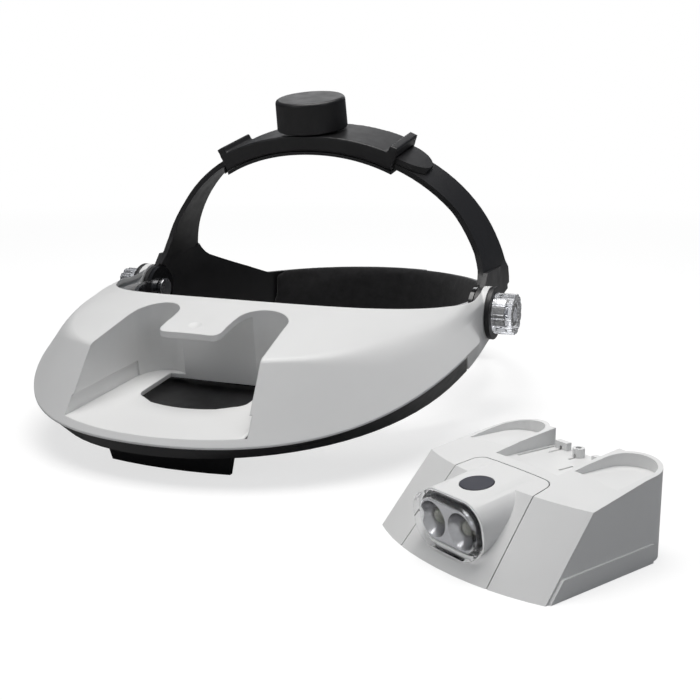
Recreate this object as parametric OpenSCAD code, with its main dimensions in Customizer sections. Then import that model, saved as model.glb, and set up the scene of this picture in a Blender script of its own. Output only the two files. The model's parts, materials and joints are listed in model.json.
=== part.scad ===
// Headband magnifier: a white visor on a padded head harness, with a plug-in lamp unit beside it.
// The harness, the visor and the lamp unit all stand on the plane z = 0.
// +X is to the right seen from the front, +Y points to the back of the head, +Z is up.
// The origin lies on that plane, under the middle of the temple pivot axis.

/* [Temple pivots] */
// Height of the temple pivot axis above the table
pivot_h = 42; // [40:0.5:46]
// Radius of the round end lug of the visor
lug_r = 11.3; // [10.8:0.1:12]
// Thickness of the visor end lug
lug_t = 2.8; // [2.4:0.1:3.2]
// Radius of the pivot stud
stud_r = 3; // [2.5:0.1:3.5]
// Radius of the black friction disc
disc_r = 11.4; // [10:0.1:12]
// Thickness of the black friction disc
disc_t = 2.2; // [1.8:0.1:3]
// Radius of the clear thumb knob
clamp_r = 8.8; // [8:0.1:10]
// Length of the clear thumb knob
clamp_l = 8.8; // [7:0.1:11]
// Radius of the small lug of the harness at each pivot
plate_r = 10.5; // [9.5:0.1:10.7]

/* [Visor outline] */
// Half width of the visor at its lower lip
lip_a = 91.5; // [90:0.1:95]
// Reach of the lower lip in front of the pivot axis
lip_b = 144.4; // [142:0.1:148]
// Place of the lip's widest point in front of the pivot axis
lip_mid = 41.3; // [36:0.1:46]
// Squareness of the lower lip's outline
lip_n = 2.12; // [2.05:0.01:2.25]
// Height of the lower lip at the front
lip_z = 15; // [13.6:0.1:16.5]
// Rise of the lower lip from the front to the temples
lip_rise = 23; // [20:0.5:26]
// Half width of the visor at its shoulder line
crease_a = 86.2; // [85.8:0.1:88]
// Reach of the shoulder line in front of the pivot axis
crease_b = 125.9; // [124:0.1:129]
// Place of the shoulder line's widest point in front of the pivot axis
crease_mid = 10; // [5:0.1:15]
// Squareness of the shoulder line
crease_n = 2.32; // [2.25:0.01:2.4]
// Height of the shoulder line at the front
crease_z = 42.4; // [40:0.1:44]
// Rise of the shoulder line from the front to the temples
crease_rise = 6.2; // [5:0.1:8]
// Half width of the visor at its upper rim
rim_a = 86; // [85:0.1:88]
// Reach of the upper rim in front of the pivot axis
rim_b = 79; // [78.5:0.1:82]
// Squareness of the upper rim
rim_n = 2.2; // [2.1:0.01:2.3]
// Height of the upper rim at the front
rim_z = 55.3; // [53:0.1:58]
// Wall of the visor shell
visor_wall = 2.2; // [1.8:0.1:2.6]

/* [Lower frame] */
// Half width of the lower edge
edge_a = 84.6; // [83:0.1:87]
// Reach of the lower edge in front of the pivot axis
edge_b = 143.4; // [142:0.1:144]
// Place of the lower edge's widest point in front of the pivot axis
edge_mid = 17.9; // [12:0.1:24]
// Squareness of the lower edge's outline
edge_n = 2.07; // [2:0.01:2.15]
// Height of the lower edge at the front
edge_z = 10.4; // [9.5:0.1:11.5]
// Rise of the lower edge from the front to the temples
edge_rise = 19.9; // [18:0.1:22]
// Wall of the black skirt below the lip
skirt_wall = 2.2; // [1.8:0.1:3]
// Width of the flange on top of the skirt
flange_w = 8.4; // [7.5:0.1:10]
// Distance behind the front where the black skirt ends
skirt_len = 93; // [85:1:100]

/* [Lamp bay] */
// Half width of the lamp unit at its front corners
bay_hw = 36.8; // [35:0.1:38]
// Taper of each side of the lamp unit, in degrees
bay_taper = 4.4; // [3:0.1:6]
// Slope of the bay floor, in degrees
bay_tilt = 6.84; // [5:0.1:8]
// Radius of the rounded ears at the back of the lamp unit
ear_r = 9.8; // [9:0.1:11]
// Distance of the ear centres behind the front corners
ear_y = 46.3; // [44:0.1:48]
// Half width of the visor's tongue between the ears
tongue_hw = 13; // [11:0.1:13.2]
// Distance of the tongue's front edge behind the front corners
tongue_y = 31; // [29:0.1:33]
// Gap between the lamp unit and the bay walls
bay_gap = 0.4; // [0.2:0.05:0.6]
// Height of the guide rail along the lamp unit's sides
rail_h = 6; // [4:0.1:7]
// Depth of the guide rail
rail_d = 0.8; // [0.5:0.1:1.2]

/* [Lamp unit] */
// Wall of the lamp housing
lamp_wall = 1.8; // [1.4:0.1:2.2]
// Place of the lamp unit beside the visor, to the right
lamp_x = 124; // [118:0.5:135]
// Place of the lamp unit, to the front
lamp_y = 168.5; // [160:0.5:175]
// Turn of the lamp unit on the table, in degrees
lamp_turn = 32.3; // [20:0.1:40]
// Half width of the lamp pod
pod_hw = 14; // [13:0.1:16]
// Half height of the lamp pod
pod_hh = 9; // [8.8:0.1:10.2]
// Radius of the push button
button_r = 5.2; // [4.5:0.1:5.6]
// Radius of a battery cell
cell_r = 5.25; // [5:0.05:5.3]
// Length of a battery cell
cell_l = 44.5; // [43:0.1:45]

/* [Harness] */
// Half width inside the harness at the temples
band_a = 80.2; // [79:0.1:80.6]
// Reach of the nape band behind the pivot axis
band_b = 122.3; // [118:0.1:128]
// Thickness of the harness bands
band_t = 2.2; // [1.8:0.1:2.4]
// Height of the nape band's upper edge
band_top = 38.5; // [36:0.5:40]
// Rise of the crown arch above its foot
arch_h = 70.9; // [66:0.1:76]
// Squareness of the crown arch
arch_n = 2.09; // [2:0.01:2.2]
// Forward lean of the crown arch, in degrees
arch_lean = 11.2; // [8:0.1:14]
// Distance of the arch's foot behind the pivot axis
arch_y = 28.2; // [26:0.1:30]
// Width of a crown strap
strap_w = 22.5; // [20:0.1:24]
// Thickness of the nape cushion
pad_t = 6; // [4:0.5:8]

/* [Crown adjuster] */
// Radius of the crown knob
crown_r = 16; // [14:0.1:18]
// Height of the crown knob
crown_h = 14; // [12:0.1:16]
// Width of the sleeve across the straps
sleeve_w = 27; // [26:0.1:30]
// Wall of the sleeve
sleeve_wall = 1.6; // [1.3:0.1:2]

/* [Lens] */
// Half width of the lens plate
lens_hw = 46; // [42:0.5:48]
// Thickness of the lens plate
lens_t = 2.6; // [2.2:0.1:3]
// Width of the lens bracket's foot
foot_w = 50; // [46:0.5:54]
// Radius of the lens hinge pin
hinge_r = 1.5; // [1.2:0.1:1.8]

/* [Hidden] */
$fn = 48;
white = [0.88, 0.89, 0.9];
black = [0.12, 0.12, 0.14];
// Running clearance of a round part in its hole
run = 0.05;
// Seating gap between fixed pieces
seat = 0.1;
// Gap between flat faces that slide past each other
slip = 0.3;
// Length that a cut runs past a face
over = 1;

// Harness outer face, visor lug, disc and knob, stacked outwards along X
band_out = band_a + band_t;
lug_in = band_out + 0.4;
lug_out = lug_in + lug_t;
disc_in = lug_out + 0.2;
disc_out = disc_in + disc_t;
clamp_in = disc_out + 0.2;
clamp_out = clamp_in + clamp_l;

// Curves of the visor, from its left end at s = -1 round the front to its right end at s = 1
function side(v) = v < 0 ? -1 : 1;
function power(v, e) = side(v) * pow(abs(v), e);
function ramp(v) = let (c = max(0, min(1, v))) c * c * (3 - 2 * c);
function swell(a, b, mid, n, t) = [a * power(sin(t), 2 / n), -mid - (b - mid) * power(cos(t), 2 / n)];
function swell_end(b, mid, n) = acos(-pow(mid / (b - mid), n / 2));
lip_end = swell_end(lip_b, lip_mid, lip_n);
crease_end = swell_end(crease_b, crease_mid, crease_n);
edge_end = swell_end(edge_b, edge_mid, edge_n);
// Height of the lug's faces over the shell that ends in it
lug_step = 0.25;
// The ends of the curves are drawn to their lugs between these places in front of the pivot axis
draw_from = 38;
draw_to = lug_r + 0.3;
function drawn(p, x) = let (k = ramp((draw_from + p[1]) / (draw_from - draw_to)))
    [p[0] + k * (side(p[0]) * x - p[0]), p[1]];
function lip_xy(s) = drawn(swell(lip_a, lip_b, lip_mid, lip_n, s * lip_end), lug_out - lug_step);
function crease_xy(s) = drawn(swell(crease_a, crease_b, crease_mid, crease_n, s * crease_end), lug_out - lug_step);
// The lower edge runs ahead of the lip, so that the black skirt ends upright
edge_ahead = 1.155;
function edge_share(s) = abs(s) <= skirt_s ? s * edge_ahead :
    side(s) * (1 - (1 - abs(s)) * (1 - skirt_s * edge_ahead) / (1 - skirt_s));
function edge_xy(s) = drawn(
    swell(edge_a, edge_b, edge_mid, edge_n, edge_share(s) * edge_end), lug_out - lug_step);
function rim_xy(s) = drawn(swell(rim_a, rim_b, 0, rim_n, s * 90), lug_in + lug_step);
// Heights by the share of the way v from the front to the pivot axis
function share(y, b) = (y + b) / b;
function lip_height(y) = let (v = share(y, lip_b)) lip_z + lip_rise * (0.3 * v + 0.7 * ramp(v / 0.75));
function edge_height(y) = edge_z + edge_rise * pow(share(y, edge_b), 2);
function crease_height(y) = let (v = share(y, crease_b)) crease_z + crease_rise * v * (0.4 + 0.6 * v);
rim_low = 50;
tip_rise = 2.4;
function rim_height(y) = rim_low + (rim_z - rim_low) * pow(-y / rim_b, 3) + tip_rise * ramp(1 + y / 18);
// Place along the curves, skirt_len behind the front, where the black skirt ends
skirt_s = acos(power((lip_b - lip_mid - skirt_len) / (lip_b - lip_mid), lip_n / 2)) / lip_end;
step_s = 0.003;
lip_edge = 0.7;
function lip_pt(s) = let (p = lip_xy(s)) [p[0], p[1], lip_height(p[1])];
function edge_pt(s) = let (p = edge_xy(s)) [p[0], p[1], edge_height(p[1])];
// The shell ends a little below its lip over the skirt, and comes down to the lower edge behind it
function hem_pt(s) = abs(s) <= skirt_s ? down(lip_pt(s), lip_edge) : edge_pt(s);
// Outward bow of the top face between shoulder and rim
top_bow = 0.7;
function mid_pt(s) = let (c = crease_xy(s), r = rim_xy(s), k = top_bow * ramp(-r[1] / 30))
    [(c[0] + r[0]) / 2, (c[1] + r[1]) / 2, (crease_height(c[1]) + rim_height(r[1])) / 2 + k];
function crease_pt(s) = let (c = crease_xy(s)) [c[0], c[1], crease_height(c[1])];
function rim_pt(s) = let (r = rim_xy(s)) [r[0], r[1], rim_height(r[1])];
// Inner corner of the shell: in by the wall on the front face and down by it on the top face
function inward(p, s, by) = [p[0] - by * sin(90 * s), p[1] + by * cos(90 * s), p[2]];
function down(p, by) = [p[0], p[1], p[2] - by];
// A point moved in by a distance and set a distance below the lip's height there
function under_lip(s, in, by) = let (p = inward(lip_pt(s), s, in)) [p[0], p[1], lip_height(p[1]) - by];

visor_steps = 44;
end_steps = 10;
function span(from, to, n) = [for (i = [0 : n]) from + (to - from) * i / n];
stations = concat(
    span(-1, -skirt_s - step_s, end_steps),
    span(-skirt_s, skirt_s, visor_steps),
    span(skirt_s + step_s, 1, end_steps)
);

// A solid through rings of equal length, closed at each end across the ring
module loft(rings) {
    m = len(rings[0]);
    n = len(rings);
    points = [for (r = rings) each r];
    walls = [for (i = [0 : n - 2], j = [0 : m - 1]) each [
        [i * m + j, (i + 1) * m + (j + 1) % m, (i + 1) * m + j],
        [i * m + j, i * m + (j + 1) % m, (i + 1) * m + (j + 1) % m]
    ]];
    cap = [for (j = [0 : floor((m - 1) / 2) - 1]) each
        j + 2 < m - 1 - j ? [[j, j + 1, m - 2 - j], [j, m - 2 - j, m - 1 - j]] : [[j, j + 1, m - 1 - j]]];
    first = [for (c = cap) [c[2], c[1], c[0]]];
    last = [for (c = cap) [for (k = c) (n - 1) * m + k]];
    polyhedron(points, concat(walls, first, last), convexity = 8);
}

front_wall = 2.2;
module visor_skin() {
    loft([for (s = stations) let (h = hem_pt(s), b = lip_pt(s), c = crease_pt(s), m = mid_pt(s), r = rim_pt(s)) [
        h, b, c, m, r,
        down(r, visor_wall),
        down(m, visor_wall),
        inward(down(c, visor_wall), s, front_wall),
        inward(b, s, front_wall),
        abs(s) <= skirt_s ? under_lip(s, front_wall, lip_edge) : inward(h, s, front_wall)
    ]]);
}

// Everything under the visor's outer faces, down to the table
module visor_envelope() {
    loft([for (s = stations) let (b = lip_pt(s), r = rim_pt(s)) [
        b, crease_pt(s), mid_pt(s), r, [r[0], r[1], 0], [b[0], b[1], 0]
    ]]);
}

// Bay frame: y = 0 on the line through the lamp unit's front corners, z = 0 on the bay floor
dock_y = -lip_mid - (lip_b - lip_mid) * pow(1 - pow(bay_hw / lip_a, lip_n), 1 / lip_n);
lip_t = 2.1;
dock_z = lip_z + lip_t + (lip_b + dock_y) * tan(bay_tilt);
module docked() translate([0, dock_y, dock_z]) rotate([bay_tilt, 0, 0]) children();
module undocked() rotate([-bay_tilt, 0, 0]) translate([0, -dock_y, -dock_z]) children();

deck_back = 53;
bay_front = 20;
function bay_x(y, c) = bay_hw + c - y * tan(bay_taper);
// Centre of an ear, so that its round runs on from the straight side
ear_x = bay_hw - ear_y * tan(bay_taper) - ear_r / cos(bay_taper);
module ear_rounds(c) for (s = [-1, 1]) translate([s * ear_x, ear_y]) circle(ear_r + c);
module bay_sides(c) {
    tip_x = ear_x + (ear_r + c) * cos(bay_taper);
    tip_y = ear_y + (ear_r + c) * sin(bay_taper);
    polygon([
        [-bay_x(-bay_front, c), -bay_front], [bay_x(-bay_front, c), -bay_front],
        [tip_x, tip_y], [ear_x, ear_y], [-ear_x, ear_y], [-tip_x, tip_y]
    ]);
}
module bay_plan(c) {
    bay_sides(c);
    ear_rounds(c);
    translate([-ear_x, 0]) square([2 * ear_x, deck_back + c]);
}
tongue_round = 3.5;
module tongue_plan(hw, y) {
    translate([-hw, y + tongue_round]) square([2 * hw, deck_back]);
    translate([-hw + tongue_round, y]) square([2 * (hw - tongue_round), tongue_round + over]);
    for (s = [-1, 1]) translate([s * (hw - tongue_round), y + tongue_round]) circle(tongue_round);
}
module open_bay_plan() difference() {
    union() {
        bay_sides(bay_gap);
        ear_rounds(bay_gap);
    }
    tongue_plan(tongue_hw, tongue_y);
}

bay_wall = 2;
floor_t = 1.7;
tongue_t = 2.45;
deep = 70;
window_hw = 23;
window_y = 27.5;
window_back = deck_back + bay_gap;
window_bow = 6.5;
bow_r = (window_hw * window_hw + window_bow * window_bow) / (2 * window_bow);
module floor_window_plan() intersection() {
    translate([-window_hw, 0]) square([2 * window_hw, window_back]);
    translate([0, window_y - window_bow + bow_r]) circle(bow_r, $fn = 96);
}

frame_screw_x = 22;
frame_screw_y = 130;
screw_r = 1.25;
screw_head_r = 2.5;
screw_head_h = 1.5;
boss_r = 2.6;
boss_h = 4.2;
module frame_screw_places(z) for (s = [-1, 1]) translate([s * frame_screw_x, -frame_screw_y, z]) children();

module along_x(x0, x1, y, z) translate([x0, y, z]) rotate([0, 90, 0]) linear_extrude(x1 - x0) children();
module both_sides() for (s = [0, 1]) mirror([s, 0, 0]) children();

module visor_shell() color(white) difference() {
    union() {
        visor_skin();
        intersection() {
            docked() translate([0, 0, -floor_t]) linear_extrude(deep) bay_plan(bay_gap + bay_wall);
            down_by(0.5) visor_envelope();
        }
        both_sides() along_x(lug_in, lug_out, 0, pivot_h) circle(lug_r, $fn = 72);
        frame_screw_places(foot_h + cross_t + seat) cylinder(r = boss_r, h = boss_h);
    }
    docked() {
        linear_extrude(deep) open_bay_plan();
        linear_extrude(rail_h + bay_gap) bay_sides(bay_gap + rail_d);
        translate([0, 0, -floor_t - over]) linear_extrude(floor_t + 2 * over) floor_window_plan();
    }
    intersection() {
        docked() translate([-ear_x, tongue_y - 4, 0]) linear_extrude(deep)
            square([2 * ear_x, deck_back + bay_gap + 4 - tongue_y]);
        down_by(tongue_t) visor_envelope();
    }
    both_sides() along_x(lug_in - over, lug_out + over, 0, pivot_h) circle(stud_r + run);
    frame_screw_places(foot_h) cylinder(r = screw_r + run, h = cross_t + boss_h);
}
module down_by(d) translate([0, 0, -d]) children();

// Lower frame: a strip under the lip, and a cross plate that carries the lens bracket
cross_hw = 27;
cross_front = 137;
cross_back = 118.4;
cross_t = 3;
skirt_in = 0.4;
flange_t = 2.2;
foot_h = edge_z;
// Black tray of the frame under the bay's floor window
tray_hw = 28;
tray_t = 1.8;
tray_drop = 2.4;
tray_front = 15;
tray_back = 58;
module window_tray() {
    docked() translate([-tray_hw, tray_front, -floor_t - tray_drop - tray_t])
        cube([2 * tray_hw, tray_back - tray_front, tray_t]);
    translate([-tray_hw, -cross_back - 4, foot_h + cross_t - over]) cube([2 * tray_hw, 3.6, 2.2]);
}
module lower_frame() color(black) difference() {
    union() {
        window_tray();
        loft([for (v = span(0.004 - skirt_s, skirt_s - 0.004, visor_steps)) let (
            e = edge_pt(v),
            n = under_lip(v, flange_w, lip_edge + seat)
        ) [
            e,
            under_lip(v, skirt_in, lip_edge + seat),
            n,
            down(n, flange_t),
            under_lip(v, skirt_in + skirt_wall, lip_edge + seat + flange_t),
            inward(e, v, skirt_wall)
        ]]);
        translate([-cross_hw, -cross_front, foot_h])
            cube([2 * cross_hw, cross_front - cross_back, cross_t]);
    }
    frame_screw_places(foot_h - over) {
        cylinder(r = screw_r + run, h = cross_t + 2 * over);
        cylinder(r = screw_head_r + seat, h = screw_head_h + over);
    }
    for (s = [-1, 1]) translate([s * foot_screw_x, -foot_screw_y, foot_h - over])
        cylinder(r = screw_r + run, h = cross_t + 2 * over);
}

module screw(head_z, length) {
    translate([0, 0, head_z - screw_head_h]) cylinder(r = screw_head_r, h = screw_head_h);
    translate([0, 0, head_z - over]) cylinder(r = screw_r, h = length + over);
}
module frame_screws() color("dimgray") frame_screw_places(foot_h) screw(screw_head_h, 5.4);

// Lens bracket: a drafted foot under the cross plate, with two hinge ears behind it
foot_front = 124.3;
foot_back = 117.6;
foot_draft = 2;
foot_corner = 5;
foot_bow = 2.4;
foot_screw_x = 9;
foot_screw_y = 121.6;
foot_head_z = 2.6;
hinge_y = -112.4;
hinge_z = 8.6;
ear_in = 14.6;
ear_out = 20;
hinge_ear_r = 5;
module foot_plan(hw, front, bow) {
    r = (hw * hw + bow * bow) / (2 * bow);
    intersection() {
        polygon([
            [-hw, -front - bow], [hw, -front - bow], [hw, -foot_back - foot_corner], [hw - foot_corner, -foot_back],
            [foot_corner - hw, -foot_back], [-hw, -foot_back - foot_corner]
        ]);
        translate([0, -front - bow + r]) circle(r, $fn = 96);
    }
}
module lens_bracket() color(black) difference() {
    union() {
        hull() {
            linear_extrude(0.01) foot_plan(foot_w / 2, foot_front, foot_bow);
            translate([0, 0, foot_h - 0.01]) linear_extrude(0.01)
                foot_plan(foot_w / 2 + foot_draft, foot_front + foot_draft, foot_bow);
        }
        both_sides() {
            along_x(ear_in, ear_out, hinge_y, hinge_z) circle(hinge_ear_r);
            translate([ear_in, -foot_back - over, hinge_z - hinge_ear_r])
                cube([ear_out - ear_in, hinge_y + foot_back + over, foot_h - hinge_z + hinge_ear_r]);
        }
    }
    along_x(-ear_out - over, ear_out + over, hinge_y, hinge_z) circle(hinge_r + run);
    for (s = [-1, 1]) translate([s * foot_screw_x, -foot_screw_y, -over]) {
        cylinder(r = screw_r + run, h = foot_h + 2 * over);
        cylinder(r = screw_head_r + seat, h = foot_head_z + over);
    }
}
module bracket_screws() color("dimgray") for (s = [-1, 1])
    translate([s * foot_screw_x, -foot_screw_y, 0]) screw(foot_head_z, foot_h + cross_t - foot_head_z);
module lens_hinge_pin() color("silver")
    along_x(-ear_out, ear_out, hinge_y, hinge_z) circle(hinge_r);

// Lens parts lie folded back under the visor, a little lower at the back than at the hinge
lens_rest = -2;
module folded() translate([0, hinge_y, hinge_z]) rotate([lens_rest, 0, 0]) children();
barrel_r = 3.4;
arm_t = 4.4;
arm_l = 11;
jaw = 5;
arm_hw = 24;
module lens_carrier() color(black) folded() difference() {
    union() {
        along_x(-ear_in + slip, ear_in - slip, 0, 0) circle(barrel_r);
        translate([-ear_in + slip, 0, -arm_t / 2]) cube([2 * (ear_in - slip), arm_l - jaw, arm_t]);
        translate([-arm_hw, arm_l - jaw, -arm_t / 2]) cube([2 * arm_hw, jaw, arm_t]);
    }
    along_x(-ear_in - over, ear_in + over, 0, 0) circle(hinge_r + run);
    translate([-arm_hw - over, arm_l - jaw + 0.6, -lens_t / 2 - seat])
        cube([2 * (arm_hw + over), jaw + over, lens_t + 2 * seat]);
}
lens_y0 = arm_l - jaw + 0.8;
lens_l = 28;
lens_round = 12;
lens_dome = 95;
lens_eye = 25;
module lens_plate() color([0.8, 0.87, 0.9, 0.5]) folded() {
    difference() {
        translate([0, lens_y0, -lens_t / 2]) linear_extrude(lens_t) difference() {
            union() {
                translate([-lens_hw, lens_round]) square([2 * lens_hw, lens_l - 2 * lens_round]);
                translate([-lens_hw + lens_round, 0]) square([2 * (lens_hw - lens_round), lens_l]);
                for (s = [-1, 1], y = [lens_round, lens_l - lens_round])
                    translate([s * (lens_hw - lens_round), y]) circle(lens_round);
            }
            translate([0, lens_l + 4]) circle(11);
        }
    }
    for (s = [-1, 1]) intersection() {
        translate([s * lens_eye, lens_y0 + lens_l / 2 + 2, -lens_dome + 2.1]) sphere(lens_dome, $fn = 128);
        translate([s * lens_eye, lens_y0 + lens_l / 2 + 2, 0]) cylinder(r = 12, h = 4);
    }
}

// Harness
fore_a = band_a - 0.4;
fore_t = 1.8;
fore_b = 74.5;
fore_low = 10;
fore_top = 47.5;
// Half ellipse, front or back, as a list of points from right to left
function half_oval(a, b, y0, from, to, n) =
    [for (i = [0 : n]) let (t = from + (to - from) * i / n) [a * cos(t), y0 + b * sin(t)]];
module forehead_band() color(black) difference() {
    union() {
        intersection() {
            translate([0, 0, fore_low]) linear_extrude(fore_top - fore_low) polygon(concat(
                half_oval(fore_a, fore_b, 0, 0, -180, 48),
                half_oval(fore_a - fore_t, fore_b - fore_t, 0, -180, 0, 48)
            ));
            rotate([90, 0, 90]) translate([0, 0, -fore_a - over]) linear_extrude(2 * (fore_a + over)) union() {
                translate([0, pivot_h]) circle(plate_r);
                polygon([
                    [0, pivot_h - plate_r], [0, pivot_h + plate_r], [-40, fore_top], [-fore_b - over, fore_top],
                    [-fore_b - over, fore_low], [-48, fore_low]
                ]);
            }
        }
        both_sides() along_x(fore_a - fore_t, fore_a, 0, pivot_h) circle(plate_r);
    }
    both_sides() along_x(fore_a - fore_t - over, fore_a + over, 0, pivot_h) circle(stud_r + run);
}

// Cushion along a band: u runs inward from the band and w up, both from 0 to 1
cushion_ring = [
    [0, 0.06], [0, 0.94], [0.16, 0.99], [0.45, 1], [0.78, 0.93], [0.95, 0.78], [1, 0.5],
    [0.95, 0.22], [0.78, 0.07], [0.45, 0], [0.16, 0.01]
];
// Share of the full section at place s along the cushion, drawn in towards both ends
function end_draw(s) = 0.35 + 0.65 * pow(max(0, 1 - pow(abs(2 * s - 1), 6)), 0.5);
module cushion(a, b, y0, from, to, low, top, thick, n) {
    loft([for (i = [0 : n]) let (
        s = i / n,
        t = from + (to - from) * s,
        p = [a * cos(t), y0 + b * sin(t)],
        g = [cos(t) / a, sin(t) / b] / norm([cos(t) / a, sin(t) / b]),
        k = end_draw(s),
        mid = (low(s) + top(s)) / 2,
        half = (top(s) - low(s)) / 2
    ) [for (c = cushion_ring) [
        p[0] - g[0] * thick * k * c[0],
        p[1] - g[1] * thick * k * c[0],
        mid + half * (0.7 + 0.3 * k) * (2 * c[1] - 1)
    ]]]);
}
fore_pad_t = 5.5;
module forehead_pad() color([0.16, 0.16, 0.18])
    cushion(fore_a - fore_t - seat, fore_b - fore_t - seat, 0, -140, -40,
        function (s) fore_low + 2, function (s) fore_top - 2, fore_pad_t, 28);

oval_y = 15;
nape_drop = [[-2, 31.8], [30, 27], [60, 22.5], [85, 16], [100, 10], [112, 1.5], [116, 0], [130, 0]];
window_r = 19;
window_c = [53.4, 70];
module arm_outline() {
    polygon(concat(nape_drop, [[130, band_top], [84, band_top], [72, 43.3]],
        [for (a = [245 : -10 : 215]) window_c + window_r * [cos(a), sin(a)]],
        [[36, 58], [5.7, 58], [0.8, pivot_h + plate_r]]));
    translate([0, pivot_h]) circle(plate_r);
}
nape_lap = 14;
// Plan of one half of the nape band: extra moves it back where it laps outside the other half
module band_ring(extra) {
    end = 90 + asin(nape_lap / band_a);
    outer = half_oval(band_out, band_b - oval_y + band_t + extra, oval_y, 0, end, 34);
    inner = half_oval(band_a, band_b - oval_y + extra, oval_y, end, 0, 34);
    polygon(concat([[band_out, -12]], outer, inner, [[band_a, -12]]));
}

// Crown frame: x across the head, y along the strap's width, z up the leaning arch
arch_foot = 44.1;
module crown_frame() translate([0, arch_y, arch_foot]) rotate([arch_lean, 0, 0]) children();
strap_t = 2.4;
layer = strap_t + 0.2;
function arch_pt(a, h, x) = [x, h * pow(max(0, 1 - pow(abs(x / a), arch_n)), 1 / arch_n)];
function arch_angle_pt(a, h, t) = [a * side(t) * pow(abs(sin(t)), 2 / arch_n), h * pow(cos(t), 2 / arch_n)];
// One strap seen along its width: full side for t > 0, and the other side up to its end
module strap_profile(a, h, a_far, t_end) {
    near = [for (i = [0 : 26]) 90 - 90 * i / 26];
    far = [for (i = [1 : 10]) -t_end * i / 10];
    polygon(concat(
        [for (t = near) arch_angle_pt(a, h, t)],
        [for (t = far) arch_angle_pt(a_far, h, t)],
        [for (i = [9 : -1 : 0]) arch_angle_pt(a_far - strap_t, h - strap_t, far[i])],
        [for (i = [26 : -1 : 0]) arch_angle_pt(a - strap_t, h - strap_t, near[i])]
    ));
}
// Slot with a row of teeth along one side, as the rack of the strap
rack_pitch = 2.5;
rack_hw = 4.4;
module rack_slot(x0, x1, s) {
    n = floor((x1 - x0) / rack_pitch);
    polygon(concat([[x0, -s * rack_hw], [x0, s * rack_hw]],
        [for (i = [0 : n - 1]) each [[x0 + (i + 0.5) * rack_pitch, s * (rack_hw + 1.3)],
            [x0 + (i + 1) * rack_pitch, s * rack_hw]]],
        [[x0 + n * rack_pitch, -s * rack_hw]]));
}
end_round = strap_w / 2;
// The strap's foot widens forward to the pivot and back to the nape, seen across the crown frame
gusset = [
    [0, 42], [-11.2, 42], [-13.6, 33], [-15.4, 25], [-18.5, 18.9], [-25, 13.4], [-24, 8], [0, 2],
    [14, 2], [15, 9.2], [12.2, 13.5], [11.2, 25]
];
module strap(h, a_far, t_end, s) {
    tip = arch_angle_pt(a_far, h, -t_end)[0];
    crown_frame() difference() {
        union() {
            intersection() {
                across(strap_w) strap_profile(band_out + 0.2, h, a_far, t_end);
                translate([0, 0, -20]) linear_extrude(120) union() {
                    translate([tip + end_round, -strap_w / 2]) square([160, strap_w]);
                    translate([tip + end_round, 0]) circle(end_round);
                }
            }
            intersection() {
                across(60) strap_profile(band_out + 0.2, h, a_far, t_end);
                rotate([90, 0, 90]) translate([0, 0, 40]) linear_extrude(band_out - 30) polygon(gusset);
            }
        }
        translate([0, 0, h - 25]) linear_extrude(40) rack_slot(-38, 38, s);
    }
}
module harness_body(extra, h, a_far, t_end, s) difference() {
    union() {
        intersection() {
            linear_extrude(90) band_ring(extra);
            rotate([90, 0, 90]) linear_extrude(band_out + 20) arm_outline();
        }
        intersection() {
            translate([-nape_lap, 0, 0]) cube([nape_lap + over, 140, band_top]);
            linear_extrude(90) band_ring(extra);
        }
        strap(h, a_far, t_end, s);
        along_x(band_a, band_out, 0, pivot_h) circle(plate_r);
    }
    along_x(band_a - over, band_out + over, 0, pivot_h) circle(stud_r + run);
    along_x(band_a - 8, band_a, 0, pivot_h) circle(plate_r + 1);
    rivet_places() circle(rivet_r + run);
}
rivet_r = 1.6;
rivet_z = [12, 28];
module rivet_places() for (x = [-7, 7], z = rivet_z)
    translate([x, band_b + 8, z]) rotate([90, 0, 0]) linear_extrude(16) children();
module harness_right() color(black) harness_body(0, arch_h, band_out + 0.2 - layer, 38, 1);
nape_layer = band_t + seat;
module harness_left() color(black) mirror([1, 0, 0])
    harness_body(nape_layer, arch_h + layer, band_out + 0.2 + layer, 37, -1);
module nape_rivets() color("gray") for (x = [-7, 7], z = rivet_z)
    translate([x, band_b, z]) rotate([-90, 0, 0]) {
        cylinder(r = rivet_r, h = nape_layer + band_t);
        translate([0, 0, nape_layer + band_t + 0.05]) cylinder(r1 = rivet_r + 1, r2 = rivet_r, h = 0.8);
        translate([0, 0, nape_layer + band_t - over]) cylinder(r = rivet_r, h = over + 0.5);
    }

module nape_pad() color([0.16, 0.16, 0.18])
    cushion(band_a - seat, band_b - oval_y - seat, oval_y, 40, 140,
        function (s) 3, function (s) band_top + 3.3, pad_t, 36);

// Temple stack
module pivot_stud() color("silver") {
    along_x(fore_a - fore_t - 2.4, fore_a - fore_t - slip, 0, pivot_h) circle(stud_r + 1.8);
    along_x(fore_a - fore_t - over, clamp_out - 3, 0, pivot_h) circle(stud_r);
}
module pivot_disc() color(black) difference() {
    along_x(disc_in, disc_out, 0, pivot_h) circle(disc_r, $fn = 72);
    along_x(disc_in - over, disc_out + over, 0, pivot_h) circle(stud_r + run);
}
insert_r = 5;
insert_l = 5;
module pivot_knob() color([0.85, 0.88, 0.9, 0.6]) difference() {
    along_x(clamp_in, clamp_out, 0, pivot_h) difference() {
        circle(clamp_r, $fn = 72);
        for (a = [0 : 30 : 359]) rotate(a) translate([clamp_r + 0.5, 0]) circle(1.2, $fn = 16);
    }
    along_x(clamp_in - over, clamp_in + insert_l, 0, pivot_h) circle(insert_r + seat);
    along_x(clamp_in, clamp_out - 2.5, 0, pivot_h) circle(stud_r + run);
}
module knob_insert() color("gold") difference() {
    along_x(clamp_in, clamp_in + insert_l, 0, pivot_h) circle(insert_r);
    along_x(clamp_in - over, clamp_in + insert_l + over, 0, pivot_h) circle(stud_r + run);
}
module pivot_stud_left() mirror([1, 0, 0]) pivot_stud();
module pivot_stud_right() pivot_stud();
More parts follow.
